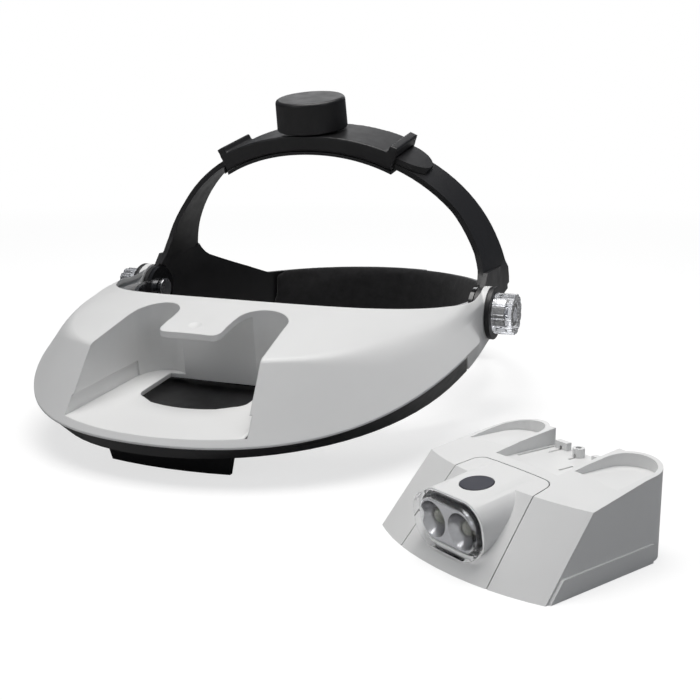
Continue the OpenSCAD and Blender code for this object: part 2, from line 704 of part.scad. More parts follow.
module pivot_disc_left() mirror([1, 0, 0]) pivot_disc();
module pivot_disc_right() pivot_disc();
module pivot_knob_left() mirror([1, 0, 0]) pivot_knob();
module pivot_knob_right() pivot_knob();
module knob_insert_left() mirror([1, 0, 0]) knob_insert();
module knob_insert_right() knob_insert();

// Crown sleeve over both straps, its lining under them, and the knob that drives the pinion
sleeve_left = 46;
sleeve_right = 41;
crown_x = -3.7;
strap_top = arch_h + layer;
strap_low = arch_h - strap_t;
sleeve_top = strap_top + 0.2 + sleeve_wall;
sleeve_low = strap_low - 0.2 - sleeve_wall;
arch_a = band_out + 0.2;
// The sleeve's lower faces run closer to the head towards both ends
sleeve_in = 2.4;
sleeve_steps = 24;
function sleeve_x(i) = -sleeve_left + (sleeve_left + sleeve_right) * i / sleeve_steps;
function inner_pt(top, in, i) = arch_pt(arch_a + top - arch_h - in, top, 0.93 * sleeve_x(i));
module sleeve_profile(low, top, top_in) polygon(concat(
    [for (i = [0 : sleeve_steps]) top_in > 0 ? inner_pt(top, top_in, i) :
        arch_pt(arch_a + top - arch_h, top, sleeve_x(i))],
    [for (i = [sleeve_steps : -1 : 0]) inner_pt(low, sleeve_in, i)]
));
module across(w) rotate([90, 0, 0]) translate([0, 0, -w / 2]) linear_extrude(w) children();
lip_w = 4;
lip_up = 3;
module sleeve_lip(x) {
    p = arch_pt(arch_a + sleeve_top - arch_h, sleeve_top, x);
    turn = atan2(p[0], p[1] * 1.35);
    translate(p) rotate(-turn) translate([-lip_w / 2, -sleeve_wall / 2]) square([lip_w, lip_up + sleeve_wall / 2]);
}
boss_hole = 4.4;
module crown_sleeve() color(black) crown_frame() difference() {
    union() {
        across(sleeve_w) {
            sleeve_profile(strap_low - 0.2, sleeve_top, 0);
            sleeve_lip(-sleeve_left + lip_w / 2);
            sleeve_lip(sleeve_right - lip_w / 2);
        }
        translate([crown_x, 0, sleeve_top - 3]) cylinder(r = 9, h = 3.4);
    }
    across(strap_w + 0.4) sleeve_channel();
    translate([crown_x, 0, arch_h - 10]) cylinder(r = boss_hole + run, h = 30);
}
// Room for both straps, open at both ends
module sleeve_channel() polygon(concat(
    [for (i = [0 : 28]) arch_pt(arch_a + strap_top + 0.2 - arch_h, strap_top + 0.2,
        -sleeve_left - 8 + (sleeve_left + sleeve_right + 16) * i / 28)],
    [for (i = [28 : -1 : 0]) arch_pt(arch_a + strap_low - 1 - arch_h - sleeve_in, strap_low - 1,
        0.95 * (-sleeve_left - 8 + (sleeve_left + sleeve_right + 16) * i / 28))]
));
module sleeve_base() color(black) crown_frame() difference() {
    across(sleeve_w) sleeve_profile(sleeve_low, strap_low - slip, sleeve_in);
    translate([crown_x, 0, arch_h - 20]) cylinder(r = screw_head_r + 0.6, h = 40);
}
pinion_h = strap_top - strap_low - 0.4;
pinion_z = strap_low + 0.2;
knob_z = sleeve_top + 0.6;
module crown_knob() color(black) crown_frame() translate([crown_x, 0, 0]) difference() {
    union() {
        translate([0, 0, knob_z]) rotate_extrude($fn = 96) polygon(concat([[0, 0], [crown_r, 0]],
            [for (a = [0 : 15 : 90]) [crown_r - 1.8 + 1.6 * cos(a), crown_h - 1.8 + 1.6 * sin(a)]],
            [[0, crown_h - 0.2]]));
        translate([0, 0, pinion_z + pinion_h + 0.1]) cylinder(r = boss_hole, h = knob_z - pinion_z - pinion_h);
    }
    translate([0, 0, pinion_z]) cylinder(r = screw_r + run, h = knob_z - pinion_z + 6);
}
pinion_teeth = 10;
module crown_pinion() color("gray") crown_frame() translate([crown_x, 0, pinion_z]) difference() {
    linear_extrude(pinion_h) polygon([for (i = [0 : pinion_teeth - 1], q = [0, 1])
        let (a = (i + q / 2) * 360 / pinion_teeth, r = q == 0 ? rack_hw - 0.2 : rack_hw - 1.4)
        [r * cos(a), r * sin(a)]]);
    translate([0, 0, -over]) cylinder(r = screw_r + run, h = pinion_h + 2 * over);
}
module crown_screw() color("silver") crown_frame() translate([crown_x, 0, pinion_z]) {
    translate([0, 0, -1.7]) cylinder(r = screw_head_r, h = 1.6);
    translate([0, 0, -over]) cylinder(r = screw_r, h = pinion_h + over + 8);
}

// Lamp unit, built in the bay frame and set on the table beside the visor
module on_table() translate([lamp_x, -lamp_y, 0]) rotate([0, 0, -lamp_turn]) children();
deck_z = 23.4;
ceiling_z = deck_z - 1.6;
ear_wall = 1.5;
pocket_z = 24.6;
pocket_r = ear_r - ear_wall;
// The visor's own outer faces bound the lamp unit, which stands proud of them at the front
lamp_proud = 1.5;
module lamp_faces(back, low) translate([0, back - lamp_proud, -low]) undocked() visor_envelope();
module lamp_outer() {
    intersection() {
        linear_extrude(deep) bay_plan(0);
        lamp_faces(0, 0);
    }
    intersection() {
        linear_extrude(rail_h) bay_sides(rail_d);
        lamp_faces(0.6, 0.6);
    }
}
module lamp_cavity() intersection() {
    translate([0, 0, -over]) linear_extrude(ceiling_z + over) bay_plan(-lamp_wall);
    lamp_faces(1.2, 2);
}
module deck_cut() {
    rotate([90, 0, 90]) translate([0, 0, -tongue_hw - 0.5]) linear_extrude(2 * tongue_hw + 1) polygon([
        [tongue_y - 4, deck_z + 1.6], [tongue_y - 0.5, deck_z], [80, deck_z], [80, 60], [tongue_y - 4, 60]
    ]);
}
module ear_pocket() both_sides() translate([ear_x, 0, pocket_z]) linear_extrude(20) {
    translate([0, ear_y]) circle(pocket_r);
    translate([-pocket_r, ear_y - 14]) square([2 * pocket_r, 14]);
}
// Front panel, set into the housing between two grooves
panel_top_y = 23;
panel_hw = 16.5;
panel_flare = 0.12;
groove = 0.4;
module panel_plan(c) {
    r = 4;
    hull() {
        translate([-panel_hw - 4.4 - c, -bay_front]) square([2 * (panel_hw + 4.4 + c), 2]);
        for (s = [-1, 1]) translate([s * (panel_hw - r), panel_top_y - r]) circle(r + c, $fn = 24);
    }
}
post_r = 2.4;
front_post = [31, 10];
rear_post = [26.6, 51];
module posts() for (p = [front_post, rear_post], s = [-1, 1])
    translate([s * p[0], p[1], base_top + seat]) cylinder(r = post_r, h = deep);
base_z = 0.5;
base_t = 1.8;
base_top = base_z + base_t;
module lamp_housing() color(white) on_table() difference() {
    union() {
        difference() {
            lamp_outer();
            lamp_cavity();
        }
        intersection() {
            posts();
            linear_extrude(ceiling_z + 0.5) bay_plan(-0.5);
            lamp_faces(0.6, 1);
        }
        translate([0, 49.6, deck_z - 0.5]) cylinder(r = 1.95, h = 3.4);
        translate([-11, 50.4, deck_z - 0.5]) cube([5, 2.2, 3]);
        translate([4.5, 50.6, deck_z - 0.5]) cube([4, 2, 1.8]);
    }
    difference() {
        deck_cut();
        translate([0, 49.6, 0]) cylinder(r = 1.95, h = deck_z + 2.9);
        translate([-11, 50.4, 0]) cube([5, 2.2, deck_z + 2.5]);
        translate([4.5, 50.6, 0]) cube([4, 2, deck_z + 1.3]);
    }
    ear_pocket();
    translate([0, 0, -over]) linear_extrude(deep) panel_plan(groove / 2);
    translate([0, 49.6, deck_z - 0.6]) cylinder(r = 1, h = 8);
    for (p = [[-12, 35, 17], [-8.5, 45, 7], [0.3, 45, 3.4], [6, 35, 6], [12, 35, 17]])
        translate([p[0] - 0.45, p[1], deck_z - 0.8]) cube([0.9, p[2], 2]);
    for (p = [front_post, rear_post], s = [-1, 1])
        translate([s * p[0], p[1], 0]) cylinder(r = 1 + run, h = base_top + 6);
}

// Lamp pod frame: y = 0 on the lens face, z = 0 on the pod's middle
pod_tilt = 8;
pod_y = -5.2;
pod_z = 12.3;
module in_pod() translate([0, pod_y, pod_z]) rotate([pod_tilt, 0, 0]) children();
pod_wall = 1.2;
pod_round = 7.6;
pod_rim = 1.1;
module pod_section(c) {
    r = pod_round + c;
    w = pod_hw - pod_round;
    h = pod_hh - pod_round;
    for (x = [-w, w], z = [-h, h]) translate([x, z]) circle(r);
    translate([-pod_hw - c, -h]) square([2 * (pod_hw + c), 2 * h]);
    translate([-w, -pod_hh - c]) square([2 * w, 2 * (pod_hh + c)]);
}
module pod_block(c, y0, y1) translate([0, y1, 0]) rotate([90, 0, 0]) linear_extrude(y1 - y0) pod_section(c);
pod_mouth = 3.4;
pod_back = 24;
button_y = 14;
button_travel = 1;
module lamp_panel() color(white) on_table() difference() {
    union() {
        intersection() {
            difference() {
                lamp_outer();
                lamp_cavity();
            }
            translate([0, 0, -over]) linear_extrude(deep) panel_plan(-groove / 2);
        }
        intersection() {
            in_pod() pod_block(0, pod_mouth, pod_back + 8);
            translate([-20, -20, base_top + 0.3]) cube([40, 41, 40]);
        }
    }
    intersection() {
        in_pod() pod_block(-pod_wall, pod_mouth - over, pod_back + 10);
        translate([-20, -20, 0]) cube([40, 40 + 1.2, 40]);
    }
    in_pod() {
        translate([0, button_y, 0]) cylinder(r = button_r + 0.12, h = 20);
        pod_block(seat, -30, pod_mouth);
    }
}
module lamp_lens() color([0.85, 0.9, 0.92, 0.5]) on_table() in_pod() difference() {
    union() {
        pod_block(-0.2, 0, pod_mouth - 0.2);
        pod_block(-pod_wall - seat, pod_mouth - 0.3, pod_mouth + 1.6);
    }
    pod_block(-pod_wall - pod_rim, 1.2, pod_mouth + 3);
}
cup_x = 6.3;
cup_r = 5.6;
reflector_y = 1.6;
board_y = 9.6;
module reflector() color([0.8, 0.8, 0.82]) on_table() in_pod() difference() {
    union() {
        pod_block(-pod_wall - pod_rim - 0.2, reflector_y, pod_mouth + 1.5);
        pod_block(-pod_wall - pod_rim - 0.2, pod_mouth + 1.4, board_y - seat);
    }
    for (s = [-1, 1]) translate([s * cup_x, 0, 0]) rotate([-90, 0, 0]) {
        translate([0, 0, reflector_y - 0.5]) cylinder(r1 = cup_r + 0.3, r2 = 2.7, h = 6.5);
        cylinder(r = led_r + seat, h = 12);
    }
}
led_r = 2.45;
module leds() color([0.95, 0.95, 0.8]) on_table() in_pod() for (s = [-1, 1])
    translate([s * cup_x, 0, 0]) rotate([-90, 0, 0]) {
        translate([0, 0, 5.4]) sphere(led_r);
        translate([0, 0, 5.4]) cylinder(r = led_r, h = board_y - 5.4);
    }
board_t = 1.2;
board_hw = 11.3;
board_hh = 5.2;
module led_board() color("darkgreen") on_table() in_pod()
    translate([-board_hw, board_y, -board_hh]) cube([2 * board_hw, board_t, 2 * board_hh]);
switch_w = 6.2;
switch_top = 4.4;
module switch_body() color([0.2, 0.2, 0.2]) on_table() in_pod() {
    translate([-switch_w / 2, board_y + board_t, 0]) cube([switch_w, switch_w, switch_top]);
    translate([0, button_y, switch_top - 0.5]) cylinder(r = 1.6, h = 1);
}
button_t = 1.5;
module push_button() color([0.1, 0.1, 0.2]) on_table() in_pod() translate([0, button_y, 0]) {
    translate([0, 0, pod_hh + 0.2 - button_t]) cylinder(r = button_r, h = button_t);
    translate([0, 0, switch_top + 0.5 + 0.1 + button_travel]) cylinder(r = 1.4, h = 2.4);
}

// Batteries, their tray and the door under them
cell_y = [29.3, 40.7];
cell_z = 8.8;
tray_in = cell_l / 2 + 1.6;
tray_wall = 1.6;
tray_y0 = 22.6;
tray_y1 = 47.4;
tray_low = 3.6;
tray_top = 15.4;
tray_end_top = 20.4;
module battery_tray() color([0.25, 0.25, 0.27]) on_table() difference() {
    union() {
        translate([-tray_in - tray_wall, tray_y0, tray_low])
            cube([2 * (tray_in + tray_wall), tray_y1 - tray_y0, tray_top - tray_low]);
        for (s = [-1, 1]) translate([s * (tray_in + tray_wall / 2) - tray_wall / 2, tray_y0, tray_low])
            cube([tray_wall, tray_y1 - tray_y0, tray_end_top - tray_low]);
    }
    for (y = cell_y) {
        translate([-tray_in, y, cell_z]) rotate([0, 90, 0]) cylinder(r = cell_r + 0.15, h = 2 * tray_in);
        translate([-tray_in, y - cell_r - 0.15, 0]) cube([2 * tray_in, 2 * cell_r + 0.3, cell_z]);
    }
}
module cell(y, turn) translate([0, y, cell_z]) rotate([0, turn, 0]) {
    translate([0, 0, -cell_l / 2]) cylinder(r = cell_r, h = cell_l - 1);
    translate([0, 0, cell_l / 2 - 1.5]) cylinder(r = 1.9, h = 1.5);
}
module battery_front() color([0.75, 0.6, 0.25]) on_table() cell(cell_y[0], 90);
module battery_rear() color([0.75, 0.6, 0.25]) on_table() cell(cell_y[1], -90);
contact_t = 0.4;
module contact_springs() color("silver") on_table() for (i = [0, 1])
    translate([(i == 0 ? -1 : 1) * (cell_l / 2 + seat), cell_y[i], cell_z])
        rotate([0, i == 0 ? -90 : 90, 0]) cylinder(r1 = 1.8, r2 = 3.4, h = 1.4);
module contact_plates() color("silver") on_table() for (i = [0, 1])
    translate([(i == 0 ? 1 : -1) * (tray_in - seat - contact_t / 2) - contact_t / 2, cell_y[i] - 3.6, cell_z - 3.6])
        cube([contact_t, 7.2, 7.2]);

door_hw = 24.4;
door_y0 = 21.6;
door_y1 = 48.4;
knuckle_r = 1.2;
door_pin_r = 0.6;
door_axis_z = base_z + knuckle_r;
knuckle_in = 19;
module lamp_base() color(white) on_table() difference() {
    union() {
        difference() {
            intersection() {
                translate([0, 0, base_z]) linear_extrude(base_t) bay_plan(-lamp_wall - seat);
                lamp_faces(2.2, 1.4);
            }
            translate([-door_hw - slip, door_y0 - knuckle_r - slip, 0])
                cube([2 * (door_hw + slip), door_y1 + slip - door_y0 + knuckle_r + slip, 5]);
        }
        both_sides() {
            along_x(knuckle_in, door_hw, door_y0, door_axis_z) circle(knuckle_r);
            translate([knuckle_in, door_y0 - knuckle_r - slip - over, base_z])
                cube([door_hw - knuckle_in, knuckle_r + slip + over, base_t]);
        }
    }
    along_x(-door_hw - over, door_hw + over, door_y0, door_axis_z) circle(door_pin_r + run);
    for (p = [front_post, rear_post], s = [-1, 1]) translate([s * p[0], p[1], 0]) {
        cylinder(r = 1 + run, h = base_top + over);
        cylinder(r = 1.9 + seat, h = base_z + 0.9);
    }
}
module battery_door() color(white) on_table() difference() {
    union() {
        along_x(-knuckle_in + slip, knuckle_in - slip, door_y0, door_axis_z) circle(knuckle_r);
        translate([-knuckle_in + slip, door_y0, base_z]) cube([2 * (knuckle_in - slip), 3, base_t - 0.4]);
        translate([-door_hw, door_y0 + knuckle_r + slip, base_z])
            cube([2 * door_hw, door_y1 - door_y0 - knuckle_r - slip, base_t - 0.4]);
    }
    along_x(-door_hw, door_hw, door_y0, door_axis_z) circle(door_pin_r + run);
}
module door_hinge_pin() color("silver") on_table()
    along_x(-door_hw, door_hw, door_y0, door_axis_z) circle(door_pin_r);
module base_screws() color("dimgray") on_table() for (p = [front_post, rear_post], s = [-1, 1])
    translate([s * p[0], p[1], 0]) {
        translate([0, 0, base_z]) cylinder(r = 1.9, h = 0.9);
        translate([0, 0, base_z]) cylinder(r = 1, h = 7);
    }

visor_shell();
lower_frame();
frame_screws();
lens_bracket();
bracket_screws();
lens_hinge_pin();
lens_carrier();
lens_plate();
forehead_band();
forehead_pad();
harness_left();
harness_right();
nape_rivets();
nape_pad();
pivot_stud_left();
pivot_stud_right();
pivot_disc_left();
pivot_disc_right();
pivot_knob_left();
pivot_knob_right();
knob_insert_left();
knob_insert_right();
crown_sleeve();
sleeve_base();
crown_knob();
crown_pinion();
crown_screw();
lamp_housing();
lamp_panel();
lamp_base();
base_screws();
lamp_lens();
reflector();
leds();
led_board();
switch_body();
push_button();
battery_tray();
battery_front();
battery_rear();
contact_springs();
contact_plates();
battery_door();
door_hinge_pin();
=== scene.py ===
"""A lighted headband magnifier: a white visor on a padded harness, with its lamp unit beside it."""
import json
from math import cos, pi, radians, sin, tan

import bmesh
import bpy
import numpy as np
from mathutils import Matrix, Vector

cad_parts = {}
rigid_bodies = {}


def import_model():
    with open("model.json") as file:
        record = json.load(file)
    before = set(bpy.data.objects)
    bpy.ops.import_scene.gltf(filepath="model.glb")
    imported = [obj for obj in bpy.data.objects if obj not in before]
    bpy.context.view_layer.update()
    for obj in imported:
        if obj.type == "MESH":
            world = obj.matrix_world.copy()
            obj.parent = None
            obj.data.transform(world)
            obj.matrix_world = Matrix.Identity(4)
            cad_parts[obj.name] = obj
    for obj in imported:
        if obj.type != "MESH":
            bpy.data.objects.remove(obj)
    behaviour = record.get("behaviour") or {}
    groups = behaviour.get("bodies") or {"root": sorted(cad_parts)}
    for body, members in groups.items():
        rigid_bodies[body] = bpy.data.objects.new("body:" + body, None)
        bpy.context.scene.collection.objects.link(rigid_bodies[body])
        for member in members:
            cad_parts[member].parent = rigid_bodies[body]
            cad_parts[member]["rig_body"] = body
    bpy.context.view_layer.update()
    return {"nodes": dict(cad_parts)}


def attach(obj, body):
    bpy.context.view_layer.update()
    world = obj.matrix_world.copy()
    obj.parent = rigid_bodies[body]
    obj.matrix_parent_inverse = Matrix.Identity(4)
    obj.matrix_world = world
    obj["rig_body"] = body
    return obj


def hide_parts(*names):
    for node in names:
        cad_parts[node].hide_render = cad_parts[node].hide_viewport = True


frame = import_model()
scene = bpy.context.scene

# The photographer's place: a long lens a little above the visor, which it sees from its right. The
# camera looks at the middle of the object, from the given angles and distance.
scene.view_settings.view_transform = "Standard"
azimuth, elevation, distance = radians(22.558), radians(12.764), 0.507556
target = Vector((0.028016, -0.018722, 0.024488))
away = Vector((sin(azimuth) * cos(elevation), -cos(azimuth) * cos(elevation), sin(elevation)))
camera = bpy.data.objects.new("camera", bpy.data.cameras.new("camera"))
scene.collection.objects.link(camera)
camera.location = target + away * distance
camera.rotation_euler = away.to_track_quat("Z", "Y").to_euler()
camera.data.lens = 59.73
camera.data.clip_start = 0.01
scene.camera = camera


# The studio: a dim blue-white room that looks like white paper to the camera alone, so that dark
# pieces don't mirror the paper, and four soft boxes, the large one overhead.
def wired(net, node, inputs):
    """A shader node with its inputs, by name or number, linked to sockets or set to values."""
    for key, given in inputs.items():
        if isinstance(given, bpy.types.NodeSocket):
            net.links.new(given, node.inputs[key])
        else:
            node.inputs[key].default_value = given
    return node


def add_node(net, kind, inputs, **settings):
    """A new shader node of a kind, with its own settings and its inputs."""
    made = net.nodes.new("ShaderNode" + kind)
    for key, value in settings.items():
        setattr(made, key, value)
    return wired(net, made, inputs)


def seen_white(net):
    """One where the camera looks, straight or through something clear, else nothing."""
    path = net.nodes.new("ShaderNodeLightPath").outputs
    either = {0: path["Is Camera Ray"], 1: path["Is Transmission Ray"]}
    return add_node(net, "Math", either, operation="MAXIMUM").outputs[0]


def softbox(name, place, size, watts, colour=(1, 1, 1)):
    """A square area lamp, turned to face the middle of the object."""
    aim = Vector((0, 0, 0.03))
    data = bpy.data.lights.new(name, "AREA")
    data.shape, data.size, data.energy, data.color = "SQUARE", size, watts, colour
    lamp = bpy.data.objects.new(name, data)
    scene.collection.objects.link(lamp)
    lamp.location = place
    lamp.rotation_euler = (Vector(place) - aim).to_track_quat("Z", "Y").to_euler()


world = bpy.data.worlds.new("studio")
scene.world = world
world.use_nodes = True
air = world.node_tree
air.nodes.clear()
room = add_node(air, "Background", {"Color": (0.84, 0.9, 1.0, 1), "Strength": 0.12})
paper = add_node(air, "Background", {"Color": (1, 1, 1, 1)})
backdrop = add_node(air, "MixShader", {0: seen_white(air), 1: room.outputs[0], 2: paper.outputs[0]})
add_node(air, "OutputWorld", {"Surface": backdrop.outputs[0]})

softbox("ceiling box", (0.0, 0.0, 1.1), size=0.9, watts=12.0, colour=(1, 0.99, 0.975))
softbox("front box", (-0.55, -1.1, 0.5), size=0.6, watts=1.4)
softbox("back box", (-0.35, 1.25, 0.5), size=0.7, watts=1.8)
softbox("right strip", (0.9, -0.35, 0.5), size=0.35, watts=0.5, colour=(0.92, 0.95, 1))

# The table: a pale sheet that takes soft shadows near the object, glows a little where the camera
# sees it, and fades into the white paper from 0.3 to 0.9 m away.
table_half = 30
table_glow = 0.7
fade_from, fade_to = 0.3, 0.9
corners = [(-1, -1), (1, -1), (1, 1), (-1, 1)]
table = bpy.data.meshes.new("table")
table.from_pydata([(x * table_half, y * table_half, 0) for x, y in corners], [], [(0, 1, 2, 3)])
floor = bpy.data.objects.new("table", table)
scene.collection.objects.link(floor)
sheet = bpy.data.materials.new("pale table")
sheet.use_nodes = True
net = sheet.node_tree
net.nodes.clear()
matt = add_node(net, "BsdfDiffuse", {"Color": (0.35, 0.35, 0.35, 1)})
glow_share = add_node(net, "Math", {0: seen_white(net), 1: table_glow}, operation="MULTIPLY")
glow = add_node(net, "Emission", {"Strength": glow_share.outputs[0]})
near_sheet = add_node(net, "AddShader", {0: matt.outputs[0], 1: glow.outputs[0]})
here = net.nodes.new("ShaderNodeTexCoord").outputs["Object"]
reach = add_node(net, "VectorMath", {0: here}, operation="LENGTH").outputs["Value"]
far = add_node(net, "MapRange", {"Value": reach, "From Min": fade_from, "From Max": fade_to})
whitened = add_node(net, "Math", {0: far.outputs[0], 1: seen_white(net)}, operation="MULTIPLY")
far_sheet = net.nodes.new("ShaderNodeEmission")
sheets = {0: whitened.outputs[0], 1: near_sheet.outputs[0], 2: far_sheet.outputs[0]}
whole_sheet = add_node(net, "MixShader", sheets)
add_node(net, "OutputMaterial", {"Surface": whole_sheet.outputs[0]})
table.materials.append(sheet)

# The visor shell: one white ABS moulding, lofted from its lip over the shoulder to the rim, with the
# lamp unit's bay sunk in its middle and a round lug at each temple. It hangs on the two pivot studs.
# Sizes are in mm, as in the part's source: the pivots' axis is y = 0, and the front is towards -y.
mm = 0.001
wall = 2.2
lip_edge = 0.7
top_bow, bow_len = 0.7, 30
pivot_z = 42
lug_in, lug_out, lug_r = 82.8, 85.6, 11.3
bore_in, bore_out, bore_r = 80, 90, 3.05
lug_step = 0.25
draw_from, draw_to = 38, lug_r + 0.3

# Of each curve round the visor, a is half its width, b its reach ahead of the pivots, mid the place
# of its widest point and n its squareness. Its height is z in front and grows by rise up to the
# pivots; the rim's is low at the pivots and grows by rise to the front.
lip_a, lip_b, lip_mid, lip_n, lip_z, lip_rise = 91.5, 144.4, 41.3, 2.12, 15, 23
edge_a, edge_b, edge_mid, edge_n, edge_z, edge_rise = 84.6, 143.4, 17.9, 2.07, 10.4, 19.9
shoulder_a, shoulder_b, shoulder_mid, shoulder_n = 86.2, 125.9, 10, 2.32
shoulder_z, shoulder_rise = 42.4, 6.2
rim_a, rim_b, rim_n, rim_low, rim_rise, tip_rise, tip_len = 86, 79, 2.2, 50, 5.3, 2.4, 18
skirt_len = 93
edge_ahead = 1.155
outer_steps, inner_steps = 9, 7


def power(v, e):
    """The size of v to the power e, with the sign of v kept."""
    return np.sign(v) * np.abs(v) ** e


def ramp(v):
    """A smooth step from 0 to 1: 3 c c - 2 c c c, with c = v held between 0 and 1."""
    c = np.clip(v, 0, 1)
    return c * c * (3 - 2 * c)


def superoval_end(b, mid, n):
    """The angle at which a superoval is back at y = 0: its cos to the power 2 / n is -mid / (b - mid)."""
    return np.arccos(-power(mid / (b - mid), n / 2))


def superoval(a, b, mid, n, s):
    """The front of an oval of squareness n on plan, from the left pivot at s = -1 to the right one at
    s = 1: (a S, -mid - (b - mid) C), with S and C the sin and cos of t to the power 2 / n."""
    t = s * superoval_end(b, mid, n)
    return np.stack([a * power(np.sin(t), 2 / n), -mid - (b - mid) * power(np.cos(t), 2 / n)], -1)


def drawn(p, x):
    """A plan curve drawn sideways to x by a smooth step, from draw_from to draw_to ahead of the pivots."""
    k = ramp((draw_from + p[:, 1]) / (draw_from - draw_to))
    return np.stack([p[:, 0] + k * (np.sign(p[:, 0]) * x - p[:, 0]), p[:, 1]], -1)


def at_height(p, z):
    """Plan points with their heights as a third column."""
    return np.concatenate([p, np.asarray(z)[:, None]], 1)


def share(y, b):
    """The share of the way from the front, b ahead of the pivots, to the pivots."""
    return (y + b) / b


def lip_height(y):
    """The lip's height: 0.3 of its rise in a straight line, 0.7 by a smooth step over 3/4 of the way."""
    v = share(y, lip_b)
    return lip_z + lip_rise * (0.3 * v + 0.7 * ramp(v / 0.75))


def lip_line(s):
    """The lip, the widest edge: a superoval at the lip's height."""
    p = drawn(superoval(lip_a, lip_b, lip_mid, lip_n, s), lug_out - lug_step)
    return at_height(p, lip_height(p[:, 1]))


def edge_line(s):
    """The lower edge behind the skirt: a superoval whose height grows with the square of the share.
    It runs ahead of the lip as far as the skirt's end, so that the skirt ends upright."""
    beyond = np.sign(s) * (1 - (1 - np.abs(s)) * (1 - skirt_end * edge_ahead) / (1 - skirt_end))
    along = np.where(np.abs(s) <= skirt_end, s * edge_ahead, beyond)
    p = drawn(superoval(edge_a, edge_b, edge_mid, edge_n, along), lug_out - lug_step)
    return at_height(p, edge_z + edge_rise * share(p[:, 1], edge_b) ** 2)


def shoulder_line(s):
    """The crease between front and top: a superoval with its height z + rise v (0.4 + 0.6 v)."""
    p = drawn(superoval(shoulder_a, shoulder_b, shoulder_mid, shoulder_n, s), lug_out - lug_step)
    v = share(p[:, 1], shoulder_b)
    return at_height(p, shoulder_z + shoulder_rise * v * (0.4 + 0.6 * v))


def rim_line(s):
    """The rear edge over the brow: a superoval, highest in front by a cube, with its tips raised."""
    p = drawn(superoval(rim_a, rim_b, 0, rim_n, s), lug_in + lug_step)
    y = p[:, 1]
    return at_height(p, rim_low + rim_rise * (-y / rim_b) ** 3 + tip_rise * ramp(1 + y / tip_len))


def top_line(s):
    """The middle of the top face: halfway between shoulder and rim, bowed up a little."""
    c, r = shoulder_line(s), rim_line(s)
    mid = (c + r) / 2
    mid[:, 2] += top_bow * ramp(-r[:, 1] / bow_len)
    return mid


def inward(p, s, by):
    """Points moved in by a distance, square to a half circle that the curve follows."""
    return p + np.stack([-by * np.sin(s * pi / 2), by * np.cos(s * pi / 2), 0 * s], -1)


def lowered(p, by):
    """Points moved down by a distance."""
    return p - np.array([0, 0, by])


def under_lip(s):
    """The lip moved in by the wall, and set lip_edge below the lip's height at its new place."""
    p = inward(lip_line(s), s, wall)
    p[:, 2] = lip_height(p[:, 1]) - lip_edge
    return p


def rounded(a, c, b, reach, count):
    """A corner at c between a and b, eased by the curve p0 (1 - t)(1 - t) + 2 c t (1 - t) + p2 t t
    that starts and ends a reach away from c, or 0.45 of the shorter side."""
    d0, d1 = a - c, b - c
    l0, l1 = np.linalg.norm(d0, axis=1), np.linalg.norm(d1, axis=1)
    r = np.minimum(reach, 0.45 * np.minimum(l0, l1))
    p0, p2 = c + d0 * (r / l0)[:, None], c + d1 * (r / l1)[:, None]
    return [p0 * (1 - t) ** 2 + 2 * c * t * (1 - t) + p2 * t * t for t in np.linspace(0, 1, count)]


def shoulder_ease(s):
    """How far the shoulder's round reaches: 1.5 mm in front, and 9 mm more at the sides."""
    return 1.5 + 9 * ramp((np.abs(s) - 0.25) / 0.45)


def solid(name, points, faces, body=None):
    """A mesh object from points in mm, which rides on a body if one is given."""
    mesh = bpy.data.meshes.new(name)
    mesh.from_pydata((np.asarray(points, float) * mm).tolist(), [], faces)
    mesh.update()
    piece = bpy.data.objects.new(name, mesh)
    scene.collection.objects.link(piece)
    if body:
        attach(piece, body)
    return piece


def outward(piece):
    """Normals recalculated on a closed mesh, so that they point out."""
    bm = bmesh.new()
    bm.from_mesh(piece.data)
    bmesh.ops.recalc_face_normals(bm, faces=bm.faces)
    bm.to_mesh(piece.data)
    bm.free()
    return piece


def loft(name, rings, body=None):
    """A closed skin through rings, an array (rings, points, 3), with both end rings closed across."""
    n, m, _ = rings.shape
    i, j = np.meshgrid(np.arange(n - 1), np.arange(m), indexing="ij")
    k = (j + 1) % m
    sides = np.stack([i * m + j, i * m + k, (i + 1) * m + k, (i + 1) * m + j], -1)
    faces = sides.reshape(-1, 4)[:, ::-1].tolist()
    for first, turn in ((0, 1), ((n - 1) * m, -1)):
        for q in range((m - 1) // 2):
            last = m - 1 - q
            cap = [q, q + 1, last - 1, last] if q + 2 < last else [q, q + 1, last]
            faces.append([first + c for c in cap[::-turn]][::-1])
    return outward(solid(name, rings.reshape(-1, 3), faces, body))


def between(name, start, end):
    """A closed straight solid between two like rings of points."""
    n = len(start)
    i = np.arange(n)
    k = (i + 1) % n
    faces = np.stack([i, k, n + k, n + i], -1).tolist() + [i[::-1].tolist(), (n + i).tolist()]
    return outward(solid(name, np.concatenate([start, end]), faces))


def settled(piece):
    """The piece with its modifiers applied."""
    view = bpy.context.evaluated_depsgraph_get()
    mesh = bpy.data.meshes.new_from_object(piece.evaluated_get(view))
    old = piece.data
    piece.modifiers.clear()
    piece.data = mesh
    mesh.name = piece.name
    bpy.data.meshes.remove(old)
    return piece


def joined(piece, tool, how):
    """One boolean step between two closed meshes; the tool is used up."""
    step = piece.modifiers.new("step", "BOOLEAN")
    step.operation, step.solver, step.object = how, "MANIFOLD", tool
    settled(piece)
    bpy.data.objects.remove(tool)
    return piece


def arc(cx, cy, r, a0, a1, n):
    """The points (cx + r cos a, cy + r sin a), for n angles a from a0 to a1 degrees."""
    a = np.radians(np.linspace(a0, a1, n))
    return np.stack([cx + r * np.cos(a), cy + r * np.sin(a)], -1)


def mirrored(*stretches):
    """A plan outline from the stretches of its right half, which starts in front and ends behind."""
    half = np.concatenate(stretches)
    return np.concatenate([half, half[::-1] * [-1, 1]])


